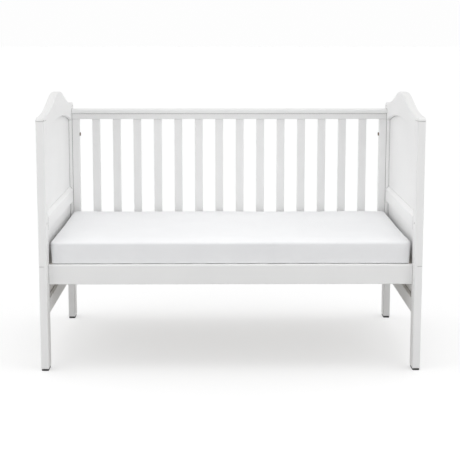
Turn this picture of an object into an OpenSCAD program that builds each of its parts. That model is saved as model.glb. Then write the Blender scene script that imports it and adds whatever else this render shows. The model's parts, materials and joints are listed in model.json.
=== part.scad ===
// Cot bed with ogee-topped end panels, a fixed slatted back and a low front rail.
// Millimetres. The origin is on the floor, under the middle of the bed.
// X runs along the bed, -Y faces the open front and +Z is up.

/* [Mattress] */
// Length of the mattress
mattress_l = 1400; // [1200:10:1600]
// Width of the mattress
mattress_w = 700; // [600:10:800]
// Thickness of the mattress at its edge
mattress_t = 86; // [60:1:120]
// Rise of the middle of the mattress above its edge
mattress_crown = 5; // [1:1:12]
// Radius of the mattress corners, seen from above
mattress_corner_r = 34; // [20:1:80]
// Radius of the top and bottom edges of the mattress
mattress_edge_r = 13; // [8:1:24]
// How far the sides of the mattress pull in between its corners
mattress_draw = 3; // [0:1:8]
// Gap between the mattress and each end
mattress_gap = 5; // [3:1:12]
// How far the front of the mattress lies behind the face of the front rail
mattress_set_back = 4; // [1:1:10]

/* [End panels] */
// Thickness of the posts, legs, rails and top boards
end_t = 31; // [29:1:40]
// Width of the posts and legs, front to back
post_w = 58; // [54:1:80]
// Radius along the long edges of the posts and legs
post_edge_r = 4; // [1:0.5:5]
// Height of a leg, from its foot pad to the joint with its post
leg_h = 405; // [385:1:450]
// Height of a post, from the joint with its leg to the top board
post_h = 560; // [480:1:640]
// Size of the sloped key in the joint between a leg and its post
key = 12; // [6:1:14]
// Size of the bevel round the bottom of a leg
leg_bevel = 3; // [1:0.5:5]
// Size of the bevel round both ends of a post
joint_bevel = 1.5; // [0.5:0.5:2]
// Thickness of the panels
panel_t = 9; // [6:1:10]
// Depth of the panels behind the inner face of the end
recess = 14; // [8:1:15]
// Depth of the grooves that hold the panels
groove_d = 5; // [3:0.5:5]
// Height of the lower rail above the floor
lower_rail_z = 218; // [150:1:240]
// Height of the lower rail
lower_rail_h = 57; // [40:1:80]
// Height of the mid rail above the joint between leg and post
mid_rail_up = 134; // [115:1:200]
// Height of the mid rail
mid_rail_h = 65; // [50:1:90]
// Length of the tenons on the end rails
end_tenon_l = 20; // [12:1:24]
// Thickness of the tenons on the end rails
end_tenon_t = 12; // [8:1:14]
// How much lower than its rail a tenon is, above and below
end_tenon_in = 10; // [6:1:14]

/* [Top boards] */
// Height of the shoulders above the posts
shoulder_h = 16; // [14:1:30]
// Width of the flat of each shoulder
shoulder_w = 18; // [16:1:60]
// Radius of the outer corners of the shoulders
shoulder_r = 14; // [10:1:14]
// Rise of the crown above the shoulders
crown_rise = 70; // [40:1:85]
// Width of the flat on the crown
crown_flat = 30; // [10:1:60]
// Radius of the convex curve beside the crown
crown_r = 260; // [150:1:280]
// Steepness of the middle of the ogee, from 1 for one straight slope to 2 for two arcs that meet
ogee_steep = 1.65; // [1.3:0.05:1.9]
// Depth of the arch at the posts, below the top of the posts
arch_drop = 60; // [40:1:90]
// Rise of the arch from the posts to its middle
arch_rise = 43; // [20:1:55]
// Radius along the edges of the top board
board_edge_r = 6; // [3:1:8]
// Radius along the edges of the arch
arch_edge_r = 2; // [1:0.5:4]

/* [Back side] */
// Thickness of the rails and stiles of the back side
side_t = 22; // [18:1:30]
// How far the back side lies behind the front of the rear posts
side_inset = 7; // [2:1:12]
// Width of the cap rail, front to back
cap_w = 42; // [32:1:48]
// Height of the cap rail
cap_h = 21; // [16:1:30]
// Radius along the edges of the cap rail
cap_edge_r = 9; // [4:0.5:9.5]
// How far the cap rail lies below the top of the posts
cap_drop = 12; // [0:1:40]
// Height of the top rail
top_rail_h = 25; // [20:1:50]
// Height of the bottom rail
bottom_rail_h = 50; // [44:1:70]
// Width of the stiles
stile_w = 33; // [28:1:45]
// Width of a slat
slat_w = 35; // [26:1:40]
// Thickness of a slat
slat_t = 12; // [9:1:15]
// Radius along the edges of a slat
slat_edge_r = 3; // [1:0.5:4]
// Number of slats in the back side
slat_count = 14; // [12:1:14]
// Length of the tenons on the slats and stiles
side_tenon_l = 12; // [8:1:14]
// How much smaller than its slat or stile a tenon is on each edge
side_tenon_in = 5; // [3:1:6]

/* [Front rail] */
// Thickness of the front rail
front_rail_t = 18; // [16:1:25]
// Height of the front rail
front_rail_h = 78; // [74:1:100]
// Radius along the top edges of the front rail
front_rail_edge_r = 5; // [2:0.5:7]

/* [Mattress base] */
// Width of a base slat
base_slat_w = 70; // [50:1:80]
// Thickness of a base slat
base_slat_t = 12; // [9:1:16]
// Number of base slats
base_slat_count = 12; // [10:1:14]
// Width of the bearers and end rails of the base
bearer_w = 30; // [26:1:45]
// Height of the bearers and end rails of the base
bearer_h = 28; // [24:1:30]
// Width of the ledgers that carry the base
ledger_w = 20; // [16:1:26]
// Height of the ledgers
ledger_h = 30; // [20:1:30]
// Distance from each end of the bed to a ledger
ledger_end = 60; // [55:5:120]
// Gap between the base and the rails in front and behind
base_gap = 0.8; // [0.3:0.1:0.9]
// Gap between the base and each end of the bed
base_end_gap = 3; // [1:1:6]

/* [Hardware] */
// Thickness of a foot pad
pad_t = 7; // [4:1:10]
// How much smaller than its leg a foot pad is on each side
pad_in = 2; // [1:0.5:4]
// Diameter of the machine screws
bolt_d = 6; // [5:0.5:6]
// Diameter of a bolt head
bolt_head_d = 15; // [12:0.5:15]
// Height of a bolt head
bolt_head_t = 4; // [3:0.5:5]
// Size across the flats of the hexagon socket in a bolt head
socket_af = 4; // [3:0.5:5]
// Length of the front rail bolts under the head
rail_bolt_l = 75; // [72:1:90]
// Outer diameter of an insert nut
insert_d = 10; // [9:0.5:11]
// Length of an insert nut
insert_l = 13; // [10:1:14]
// Height of the empty inserts above the joint between leg and post
spare_up = 165; // [140:1:260]
// Distance of the empty inserts behind the front of the post
spare_in = 26; // [14:1:30]
// Height of the lower back side bolts above the joint between leg and post
low_bolt_up = 60; // [55:1:100]
// Distance of the upper back side bolts below the top of the posts
high_bolt_down = 126; // [90:1:200]
// Diameter of a barrel nut
barrel_d = 10; // [9:0.5:12]
// Length of a barrel nut
barrel_l = 14; // [12:1:15]
// Distance from the end of the front rail to its barrel nut
barrel_in = 36; // [30:1:38]
// Diameter of a dowel
dowel_d = 8; // [6:0.5:8]
// Length of a dowel
dowel_l = 30; // [20:1:32]
// Distance of the leg dowels from the middle of the leg
leg_dowel_off = 16; // [13:1:17]
// Distance of the front rail dowels from the bolt beside them
rail_dowel_off = 24; // [18:1:28]
// How far the front rail dowels enter the leg
rail_dowel_in = 10; // [6:1:10]
// Diameter of the studs that hold the legs to the posts
stud_d = 8; // [6:0.5:8]
// Length of the studs
stud_l = 80; // [50:1:80]
// Diameter of a wood screw
screw_d = 4; // [3:0.5:4.5]
// Diameter of the head of a wood screw
screw_head_d = 8; // [7:0.5:9]
// Length of a wood screw
screw_l = 30; // [24:1:32]
// Number of screws in each ledger
ledger_screws = 4; // [3:1:6]

/* [Fits] */
// Clearance round tenons and panels
wood_fit = 0.2; // [0.1:0.05:0.4]
// Clearance round bolts in wood, on the radius
bolt_fit = 0.3; // [0.1:0.05:0.5]
// Clearance round pins and dowels in their holes, on the radius
pin_fit = 0.05; // [0.02:0.01:0.1]
// Clearance round the mattress where it rests or leans
soft_fit = 0.4; // [0.3:0.1:1]

/* [Hidden] */
$fn = 48;
end_names = ["left", "right"];

// Colours
paint = [0.93, 0.93, 0.92];
bare_wood = [0.80, 0.68, 0.50];
bronze = [0.42, 0.30, 0.20];
steel = [0.70, 0.70, 0.72];
felt = [0.30, 0.30, 0.31];
cotton = [0.97, 0.97, 0.97];

// Small sizes that nothing else depends on
rail_edge_r = 2;
foot_r = 5;
hair = 1;
seam_r = 1.5;
washer_wall = 4;

// Places along the bed, from its middle
inner_x = mattress_l / 2 + mattress_gap;
outer_x = inner_x + end_t;
mid_x = inner_x + end_t / 2;
panel_x = inner_x + recess;
stile_x = inner_x - stile_w;

// Places across the bed, from its middle
rail_set_back = post_w - front_rail_t;
bed_w = rail_set_back + mattress_set_back + mattress_w + soft_fit + post_w - side_inset;
front_y = -bed_w / 2;
span_y = bed_w / 2 - post_w;
post_mid_y = bed_w / 2 - post_w / 2;
rail_y = front_y + rail_set_back;
rail_back_y = front_y + post_w;
rail_mid_y = rail_y + front_rail_t / 2;
side_y = bed_w / 2 - post_w + side_inset;
side_mid_y = side_y + side_t / 2;
base_front_y = rail_back_y + base_gap;
base_rear_y = side_y - base_gap;

// Heights above the floor
joint_z = pad_t + leg_h;
post_top_z = joint_z + post_h;
shoulder_z = post_top_z + shoulder_h;
crown_z = shoulder_z + crown_rise;
spring_z = post_top_z - arch_drop;
mid_rail_z = joint_z + mid_rail_up;
lower_rail_top = lower_rail_z + lower_rail_h;
mid_rail_top = mid_rail_z + mid_rail_h;
front_rail_z = joint_z - front_rail_h;
rail_bolt_z = front_rail_z + front_rail_h / 2;
cap_top = post_top_z - cap_drop;
top_rail_top = cap_top - cap_h;
top_rail_z = top_rail_top - top_rail_h;
bottom_rail_top = front_rail_z + bottom_rail_h;
base_z = joint_z - base_slat_t;
bearer_z = base_z - bearer_h;
ledger_z = bearer_z - ledger_h;

// Back slats and base slats
slat_gap = (2 * stile_x - slat_count * slat_w) / (slat_count + 1);
base_l = 2 * (inner_x - base_end_gap);
base_pitch = (base_l - base_slat_w) / (base_slat_count - 1);
ledger_l = 2 * (inner_x - ledger_end);
ledger_pitch = ledger_l / ledger_screws;

function slat_x(i) = -stile_x + i * slat_gap + (i - 0.5) * slat_w;
function base_slat_x(i) = -base_l / 2 + base_slat_w / 2 + i * base_pitch;
function ledger_screw_x(i) = -ledger_l / 2 + (i + 0.5) * ledger_pitch;
function arc(c, r, a0, a1, n) =
    [for (i = [0:n]) let (a = a0 + (a1 - a0) * i / n) c + r * [cos(a), sin(a)]];

// Rectangle round the origin with round corners
module rounded(w, h, r) {
    square([w - 2 * r, h], center = true);
    square([w, h - 2 * r], center = true);
    for (sx = [-1, 1]) for (sy = [-1, 1]) translate([sx * (w / 2 - r), sy * (h / 2 - r)]) circle(r);
}

// Bar along Z, X or Y, given by its box, with round long edges
module bar_z(low, high, r) {
    size = high - low;
    translate([(low.x + high.x) / 2, (low.y + high.y) / 2, low.z])
        linear_extrude(size.z) rounded(size.x, size.y, r);
}
module bar_x(low, high, r) {
    size = high - low;
    translate([low.x, (low.y + high.y) / 2, (low.z + high.z) / 2])
        rotate([90, 0, 90]) linear_extrude(size.x) rounded(size.y, size.z, r);
}
module bar_y(low, high, r) {
    size = high - low;
    translate([(low.x + high.x) / 2, high.y, (low.z + high.z) / 2])
        rotate([90, 0, 0]) linear_extrude(size.y) rounded(size.x, size.z, r);
}
module box(low, high) {
    translate(low) cube(high - low);
}

// Round pins and holes along X, Y or Z, from a start point
module rod_x(p, l, d) {
    translate(p) rotate([0, 90, 0]) cylinder(h = l, d = d);
}
module rod_y(p, l, d) {
    translate(p) rotate([-90, 0, 0]) cylinder(h = l, d = d);
}
module rod_z(p, l, d) {
    translate(p) cylinder(h = l, d = d);
}

// Puts a piece drawn for the right end, or for the front, at each end or at the rear
module at_end(end) {
    mirror([end == "left" ? 1 : 0, 0, 0]) children();
}
module at_rear(rear) {
    mirror([0, rear ? 1 : 0, 0]) children();
}

// Prism along Y under the sloped joint line of the right end, grown by some height
module joint_wedge() {
    translate([0, bed_w / 2, 0]) rotate([90, 0, 0]) linear_extrude(bed_w)
        polygon([
            [inner_x - hair, joint_z - hair], [inner_x + key + hair, joint_z - hair],
            [inner_x + key, joint_z], [inner_x, joint_z + key], [inner_x - hair, joint_z + key]
        ]);
}

// Space above the sloped joint line, which a leg leaves free
module above_joint() {
    translate([0, bed_w / 2, 0]) rotate([90, 0, 0]) linear_extrude(bed_w)
        polygon([
            [inner_x, joint_z + key], [inner_x + key, joint_z], [outer_x + hair, joint_z],
            [outer_x + hair, joint_z + key + hair], [inner_x - hair, joint_z + key + hair],
            [inner_x - hair, joint_z + key]
        ]);
}

// Groove for the panel along the inner edge of a front post or leg
module panel_groove(z0, z1) {
    box([panel_x - wood_fit, rail_back_y - groove_d, z0],
        [panel_x + panel_t + wood_fit, rail_back_y + hair, z1]);
}

// Mortise for an end rail in a front post or leg
module end_mortise(z0, z1) {
    half = end_tenon_t / 2 + wood_fit;
    box([mid_x - half, rail_back_y - end_tenon_l - wood_fit, z0 + end_tenon_in - wood_fit],
        [mid_x + half, rail_back_y + hair, z1 - end_tenon_in + wood_fit]);
}

// Holes for the stud and the dowels in the joint between leg and post, at the front
module joint_holes() {
    translate([mid_x, -post_mid_y, joint_z]) {
        translate([0, 0, -stud_l / 2 - hair]) cylinder(h = stud_l + 2 * hair, d = stud_d + 2 * pin_fit);
        for (s = [-1, 1]) translate([0, s * leg_dowel_off, -dowel_l / 2 - hair])
            cylinder(h = dowel_l + 2 * hair, d = dowel_d + 2 * pin_fit);
    }
}

// Dowel holes between a post and the top board, at the front
module top_dowel_holes() {
    for (s = [-1, 1]) rod_z([mid_x, -post_mid_y + s * leg_dowel_off, top_dowel_z - hair],
        dowel_l + 2 * hair, dowel_d + 2 * pin_fit);
}
top_dowel_z = shoulder_z - board_edge_r - dowel_l;

// Bevel round a level end of a front leg or post
module end_bevel(z, size) {
    w = size * sqrt(2);
    for (y = [front_y, rail_back_y]) translate([inner_x - hair, y, z]) rotate([45, 0, 0])
        translate([0, -w / 2, -w / 2]) cube([end_t + 2 * hair, w, w]);
    for (x = [inner_x, outer_x]) translate([x, front_y - hair, z]) rotate([0, 45, 0])
        translate([-w / 2, 0, -w / 2]) cube([w, post_w + 2 * hair, w]);
}

module leg(end, rear) {
    color(paint) at_end(end) at_rear(rear) difference() {
        bar_z([inner_x, front_y, pad_t], [outer_x, rail_back_y, joint_z + key], post_edge_r);
        above_joint();
        end_bevel(pad_t, leg_bevel);
        joint_holes();
        panel_groove(lower_rail_top - groove_d, joint_z + key + hair);
        end_mortise(lower_rail_z, lower_rail_top);
        if (!rear) front_rail_holes();
    }
}

// Holes in a front leg for the front rail: bolt, sunk head and dowels
module front_rail_holes() {
    rod_x([inner_x - hair, rail_mid_y, rail_bolt_z], end_t + 2 * hair, bolt_d + 2 * bolt_fit);
    rod_x([outer_x - bolt_head_t, rail_mid_y, rail_bolt_z], bolt_head_t + hair, bolt_head_d + 2 * bolt_fit);
    for (s = [-1, 1]) rod_x([inner_x - hair, rail_mid_y, rail_bolt_z + s * rail_dowel_off],
        rail_dowel_in + hair + wood_fit, dowel_d + 2 * pin_fit);
}

// Places of the bolts that hold the back side, as heights
side_bolt_heights = [joint_z + low_bolt_up, post_top_z - high_bolt_down];

module post(end, rear) {
    color(paint) at_end(end) difference() {
        at_rear(rear) difference() {
            bar_z([inner_x, front_y, joint_z], [outer_x, rail_back_y, post_top_z], post_edge_r);
            joint_wedge();
            for (z = [joint_z, post_top_z]) end_bevel(z, joint_bevel);
            joint_holes();
            top_dowel_holes();
            panel_groove(joint_z - hair, spring_z + groove_d);
            end_mortise(mid_rail_z, mid_rail_top);
            if (!rear) rod_x([inner_x - hair, front_y + spare_in, joint_z + spare_up],
                insert_l + hair, insert_d + 2 * pin_fit);
        }
        if (rear) for (z = side_bolt_heights) rod_x([inner_x - hair, side_mid_y, z],
            insert_l + hair + wood_fit, insert_d + 2 * pin_fit);
    }
}

module foot_pad(end, rear) {
    color(felt) at_end(end) at_rear(rear)
        bar_z([inner_x + pad_in, front_y + pad_in, 0],
            [outer_x - pad_in, rail_back_y - pad_in, pad_t], foot_r);
}

// Tenons at both ends of an end rail
module end_tenons(z0, z1) {
    box([mid_x - end_tenon_t / 2, -span_y - end_tenon_l, z0 + end_tenon_in],
        [mid_x + end_tenon_t / 2, span_y + end_tenon_l, z1 - end_tenon_in]);
}

// Mid rail, with a sloped ledge under the upper panel on both faces
module mid_rail(end) {
    back_recess = end_t - recess - panel_t;
    color(paint) at_end(end) difference() {
        union() {
            translate([0, span_y, 0]) rotate([90, 0, 0]) linear_extrude(2 * span_y) polygon([
                [inner_x, mid_rail_z], [outer_x, mid_rail_z], [outer_x, mid_rail_top - back_recess],
                [panel_x + panel_t, mid_rail_top], [panel_x, mid_rail_top], [inner_x, mid_rail_top - recess]
            ]);
            end_tenons(mid_rail_z, mid_rail_top);
        }
        rail_groove(mid_rail_top - groove_d, mid_rail_top + hair);
        rail_groove(mid_rail_z - hair, mid_rail_z + groove_d);
    }
}

// Groove along an end rail for the edge of a panel
module rail_groove(z0, z1) {
    box([panel_x - wood_fit, -span_y - end_tenon_l - hair, z0],
        [panel_x + panel_t + wood_fit, span_y + end_tenon_l + hair, z1]);
}

module lower_rail(end) {
    color(paint) at_end(end) difference() {
        union() {
            bar_y([inner_x, -span_y, lower_rail_z], [outer_x, span_y, lower_rail_top], rail_edge_r);
            end_tenons(lower_rail_z, lower_rail_top);
        }
        rail_groove(lower_rail_top - groove_d, lower_rail_top + hair);
    }
}

// Half width and height that a panel reaches into its grooves
panel_half = span_y + groove_d - wood_fit;
panel_in = groove_d - wood_fit;

// Circle of the arch under the top board: radius and height of its centre
arch_r = (span_y * span_y + arch_rise * arch_rise) / (2 * arch_rise);
arch_c = spring_z + arch_rise - arch_r;

module upper_panel(end) {
    color(paint) at_end(end) translate([panel_x, 0, 0]) rotate([90, 0, 90]) linear_extrude(panel_t)
        intersection() {
            translate([-panel_half, mid_rail_top - panel_in])
                square([2 * panel_half, spring_z + arch_rise + panel_in - mid_rail_top + panel_in]);
            translate([0, arch_c]) circle(r = arch_r + panel_in, $fn = 360);
        }
}

module lower_panel(end) {
    color(paint) at_end(end)
        box([panel_x, -panel_half, lower_rail_top - panel_in],
            [panel_x + panel_t, panel_half, mid_rail_z + panel_in]);
}

// Ogee of the top board, seen along X: two arcs joined by their common tangent, which slopes at ogee_a
ogee_run = bed_w / 2 - shoulder_w - crown_flat / 2;
ogee_a = ogee_steep * atan2(crown_rise, ogee_run);
ogee_r = (ogee_run * sin(ogee_a) - crown_rise * cos(ogee_a)) / (1 - cos(ogee_a)) - crown_r;
shoulder_c = [bed_w / 2 - shoulder_r, shoulder_z - shoulder_r];
ogee_c = [bed_w / 2 - shoulder_w, shoulder_z + ogee_r];
crown_c = [crown_flat / 2, crown_z - crown_r];

// Points along the top edge, from the rear end to the middle, in three arcs
shoulder_steps = 5;
arc_steps = 8;
top_half = concat(
    arc(shoulder_c, shoulder_r, 0, 90, shoulder_steps),
    arc(ogee_c, ogee_r, 270, 270 - ogee_a, arc_steps),
    arc(crown_c, crown_r, 90 - ogee_a, 90, arc_steps)
);

// The same number of points along the lower edge: over the post, down its side, then along the arch
post_steps = shoulder_steps + 4;
arch_steps = len(top_half) - 1 - post_steps;
arch_points = [for (i = [0:arch_steps - 1])
    let (y = span_y + (crown_flat / 2 - span_y) * i / (arch_steps - 1))
        [y, arch_c + sqrt(arch_r * arch_r - y * y)]];
low_half = concat(
    [for (i = [0:post_steps]) [bed_w / 2 - post_w * i / post_steps, post_top_z]],
    arch_points
);
low_radii = [for (p = low_half) p.y < post_top_z ? arch_edge_r : seam_r];

function reversed(v) = [for (i = [len(v) - 1:-1:0]) v[i]];
function both_halves(v) = concat(v, [for (p = reversed(v)) [-p.x, p.y]]);
top_line = both_halves(top_half);
low_line = both_halves(low_half);
board_outline = concat(top_line, reversed(low_line));
board_radii = concat([for (p = top_line) board_edge_r], low_radii, reversed(low_radii));

// How far each point of a closed outline moves when all its sides move outwards by one
function side_normal(a, b) = let (d = (b - a) / norm(b - a)) [d.y, -d.x];
function outward(v) = [for (i = [0:len(v) - 1])
    let (
        n = len(v),
        before = side_normal(v[(i + n - 1) % n], v[i]),
        after = side_normal(v[i], v[(i + 1) % n])
    ) (before + after) / (1 + before * after)];

// Skin of a solid between rings of n points each, with its two flat ends given as faces
module skin(rings, end_faces) {
    n = len(rings[0]);
    last = (len(rings) - 1) * n;
    polyhedron(
        points = [for (r = rings) each r],
        faces = concat(
            end_faces,
            [for (f = end_faces) [for (k = [len(f) - 1:-1:0]) f[k] + last]],
            [for (k = [0:len(rings) - 2]) for (i = [0:n - 1]) each
                let (a = k * n + i, b = k * n + (i + 1) % n) [[a, a + n, b + n], [a, b + n, b]]]
        ),
        convexity = 6
    );
}

// Shape of the right end's board with all its edges rounded, as slices from its inner to its outer face
module board_shape() {
    n = len(board_outline);
    away = outward(board_outline);
    half_rings = [for (k = [0:round_steps])
        let (a = 90 * k / round_steps)
            [for (i = [0:n - 1])
                let (r = board_radii[i], p = board_outline[i] - away[i] * r * (1 - sin(a)))
                    [inner_x + r * (1 - cos(a)), p.x, p.y]]];
    other = [for (ring = reversed(half_rings)) [for (p = ring) [inner_x + outer_x - p.x, p.y, p.z]]];
    end_faces = [for (i = [0:n / 2 - 2]) each
        [[i, i + 1, n - 2 - i], [i, n - 2 - i, n - 1 - i]]];
    skin(concat(half_rings, other), end_faces);
}
round_steps = 4;

// Plank that the board is cut from, with the panel's groove and the dowel holes already in it
module board_plank() {
    difference() {
        box([inner_x - hair, -bed_w, spring_z - groove_d], [outer_x + hair, bed_w, crown_z + hair]);
        translate([panel_x - wood_fit, 0, 0]) rotate([90, 0, 90]) linear_extrude(panel_t + 2 * wood_fit)
            intersection() {
                translate([0, arch_c]) circle(r = arch_r + groove_d, $fn = 360);
                translate([-span_y - hair, spring_z - 2 * hair])
                    square([2 * (span_y + hair), arch_rise + 2 * groove_d]);
            }
        for (rear = [false, true]) at_rear(rear) top_dowel_holes();
    }
}

module top_board(end) {
    color(paint) at_end(end) intersection() {
        board_plank();
        board_shape();
    }
}

// Tenon at each end of a slat or stile, standing between the rails of the back side
module side_tenons(x, w, t) {
    box([x - w / 2 + side_tenon_in, side_mid_y - t / 2 + tenon_cheek, bottom_rail_top - side_tenon_l],
        [x + w / 2 - side_tenon_in, side_mid_y + t / 2 - tenon_cheek, top_rail_z + side_tenon_l]);
}
tenon_cheek = 2;

module side_mortises(x, w, t) {
    for (z = [bottom_rail_top - side_tenon_l - wood_fit, top_rail_z - hair])
        box([x - w / 2 + side_tenon_in - wood_fit, side_mid_y - t / 2 + tenon_cheek - wood_fit, z],
            [x + w / 2 - side_tenon_in + wood_fit, side_mid_y + t / 2 - tenon_cheek + wood_fit,
                z + side_tenon_l + wood_fit + hair]);
}

// All the mortises of the back side
module back_mortises() {
    for (i = [1:slat_count]) side_mortises(slat_x(i), slat_w, slat_t);
    for (s = [-1, 1]) side_mortises(s * (inner_x - stile_w / 2), stile_w, side_t);
}

module back_slat(i) {
    color(paint) {
        x = slat_x(i);
        bar_z([x - slat_w / 2, side_mid_y - slat_t / 2, bottom_rail_top],
            [x + slat_w / 2, side_mid_y + slat_t / 2, top_rail_z], slat_edge_r);
        side_tenons(x, slat_w, slat_t);
    }
}

module back_stile(end) {
    color(paint) at_end(end) difference() {
        union() {
            bar_z([stile_x, side_y, bottom_rail_top], [inner_x, side_y + side_t, top_rail_z], rail_edge_r);
            side_tenons(inner_x - stile_w / 2, stile_w, side_t);
        }
        for (z = side_bolt_heights)
            rod_x([stile_x - hair, side_mid_y, z], stile_w + 2 * hair, bolt_d + 2 * bolt_fit);
    }
}

module back_top_rail() {
    color(paint) difference() {
        bar_x([-inner_x, side_y, top_rail_z], [inner_x, side_y + side_t, top_rail_top], rail_edge_r);
        back_mortises();
    }
}

module back_bottom_rail() {
    color(paint) difference() {
        bar_x([-inner_x, side_y, front_rail_z], [inner_x, side_y + side_t, bottom_rail_top], rail_edge_r);
        back_mortises();
        back_ledger_screws(pin_fit);
    }
}

module back_cap_rail() {
    color(paint) bar_x([-inner_x, side_mid_y - cap_w / 2, top_rail_top],
        [inner_x, side_mid_y + cap_w / 2, cap_top], cap_edge_r);
}

// Front rail, rounder along its top than along its bottom
module front_rail() {
    color(paint) difference() {
        union() {
            bar_x([-inner_x, rail_y, joint_z - front_rail_h / 2 - 2 * front_rail_edge_r],
                [inner_x, rail_back_y, joint_z], front_rail_edge_r);
            bar_x([-inner_x, rail_y, front_rail_z],
                [inner_x, rail_back_y, joint_z - front_rail_h / 2 + 2 * front_rail_edge_r], rail_edge_r);
        }
        for (end = end_names) at_end(end) {
            rod_x([inner_x - rail_bolt_in - hair, rail_mid_y, rail_bolt_z],
                rail_bolt_in + 2 * hair, bolt_d + 2 * bolt_fit);
            rod_y([inner_x - barrel_in, rail_back_y - barrel_l, rail_bolt_z], barrel_l + hair,
                barrel_d + 2 * pin_fit);
            for (s = [-1, 1]) rod_x([inner_x - dowel_l + rail_dowel_in - wood_fit, rail_mid_y,
                rail_bolt_z + s * rail_dowel_off], dowel_l - rail_dowel_in + hair, dowel_d + 2 * pin_fit);
        }
        front_ledger_screws(pin_fit);
    }
}
rail_bolt_in = rail_bolt_l - end_t + bolt_head_t;

module front_ledger() {
    color(bare_wood) difference() {
        bar_x([-ledger_l / 2, rail_back_y, ledger_z], [ledger_l / 2, rail_back_y + ledger_w, bearer_z], hair);
        front_ledger_screws(pin_fit);
    }
}

module back_ledger() {
    color(bare_wood) difference() {
        bar_x([-ledger_l / 2, side_y - ledger_w, ledger_z], [ledger_l / 2, side_y, bearer_z], hair);
        back_ledger_screws(pin_fit);
    }
}

// Countersunk screw with the face of its head at the origin, pointing along -Z
module screw(fit) {
    sink = (screw_head_d - screw_d) / 2;
    rotate_extrude() polygon([
        [0, 0], [screw_head_d / 2 + fit, 0], [screw_d / 2 + fit, -sink],
        [screw_d / 2 + fit, -screw_l - fit], [0, -screw_l - fit]
    ]);
}

module front_ledger_screws(fit) {
    for (i = [0:ledger_screws - 1])
        translate([ledger_screw_x(i), rail_back_y + ledger_w, (ledger_z + bearer_z) / 2])
            rotate([-90, 0, 0]) screw(fit);
}

module back_ledger_screws(fit) {
    for (i = [0:ledger_screws - 1])
        translate([ledger_screw_x(i), side_y - ledger_w, (ledger_z + bearer_z) / 2])
            rotate([90, 0, 0]) screw(fit);
}

module base_screws(fit) {
    for (i = [0:base_slat_count - 1]) for (y = [base_front_y + bearer_w / 2, base_rear_y - bearer_w / 2])
        translate([base_slat_x(i), y, joint_z]) screw(fit);
}

// Bearers run the length of the base, and the end rails stand between them
module base_bearer(y0, x1) {
    color(bare_wood) difference() {
        bar_x([-x1, y0, bearer_z], [x1, y0 + bearer_w, base_z], hair);
        base_screws(pin_fit);
    }
}

module base_end_rail(end) {
    color(bare_wood) at_end(end)
        bar_y([base_l / 2 - bearer_w, base_front_y + bearer_w, bearer_z],
            [base_l / 2, base_rear_y - bearer_w, base_z], hair);
}

module base_slats() {
    color(bare_wood) difference() {
        for (i = [0:base_slat_count - 1])
            bar_y([base_slat_x(i) - base_slat_w / 2, base_front_y, base_z],
                [base_slat_x(i) + base_slat_w / 2, base_rear_y, joint_z], rail_edge_r);
        base_screws(pin_fit);
    }
}

// Machine screw along X with a flat round head, its head's underside at the origin
module bolt(l) {
    rod_x([0, 0, 0], l, bolt_d - 2 * pin_fit);
    difference() {
        rod_x([-bolt_head_t, 0, 0], bolt_head_t, bolt_head_d);
        translate([-bolt_head_t - hair, 0, 0]) rotate([0, 90, 0])
            cylinder(h = bolt_head_t / 2 + hair, d = socket_af / cos(30), $fn = 6);
    }
}

module insert_nut() {
    difference() {
        rod_x([0, 0, 0], insert_l, insert_d);
        rod_x([-hair, 0, 0], insert_l + 2 * hair, bolt_d);
    }
}

module back_side_bolts() {
    color(bronze) for (end = end_names) at_end(end) for (z = side_bolt_heights)
        translate([stile_x, side_mid_y, z]) bolt(stile_w + insert_l);
}

module back_side_inserts() {
    color(steel) for (end = end_names) at_end(end) for (z = side_bolt_heights)
        translate([inner_x, side_mid_y, z]) insert_nut();
}

module spare_inserts() {
    color(steel) for (end = end_names) at_end(end)
        translate([inner_x, front_y + spare_in, joint_z + spare_up]) insert_nut();
}

module front_rail_bolts() {
    color(bronze) for (end = end_names) at_end(end)
        translate([outer_x - bolt_head_t, rail_mid_y, rail_bolt_z]) mirror([1, 0, 0]) bolt(rail_bolt_l);
}

module front_rail_barrel_nuts() {
    color(steel) for (end = end_names) at_end(end) difference() {
        rod_y([inner_x - barrel_in, rail_back_y - barrel_l, rail_bolt_z], barrel_l, barrel_d);
        rod_x([inner_x - barrel_in - barrel_d, rail_mid_y, rail_bolt_z], 2 * barrel_d, bolt_d);
    }
}

module leg_studs() {
    color(steel) for (end = end_names) for (rear = [false, true]) at_end(end) at_rear(rear)
        rod_z([mid_x, -post_mid_y, joint_z - stud_l / 2], stud_l, stud_d);
}

module joint_dowels() {
    color(bare_wood) for (end = end_names) at_end(end) {
        for (rear = [false, true]) at_rear(rear) for (s = [-1, 1]) {
            rod_z([mid_x, -post_mid_y + s * leg_dowel_off, joint_z - dowel_l / 2], dowel_l, dowel_d);
            rod_z([mid_x, -post_mid_y + s * leg_dowel_off, top_dowel_z], dowel_l, dowel_d);
        }
        for (s = [-1, 1]) rod_x([inner_x - dowel_l + rail_dowel_in, rail_mid_y,
            rail_bolt_z + s * rail_dowel_off], dowel_l, dowel_d);
    }
}

module wood_screws() {
    color(steel) {
        front_ledger_screws(0);
        back_ledger_screws(0);
        base_screws(0);
    }
}

// Points along one side of a ring, from a to b, without b
function run(a, b, n) = [for (i = [0:n - 1]) a + (b - a) * i / n];

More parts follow.
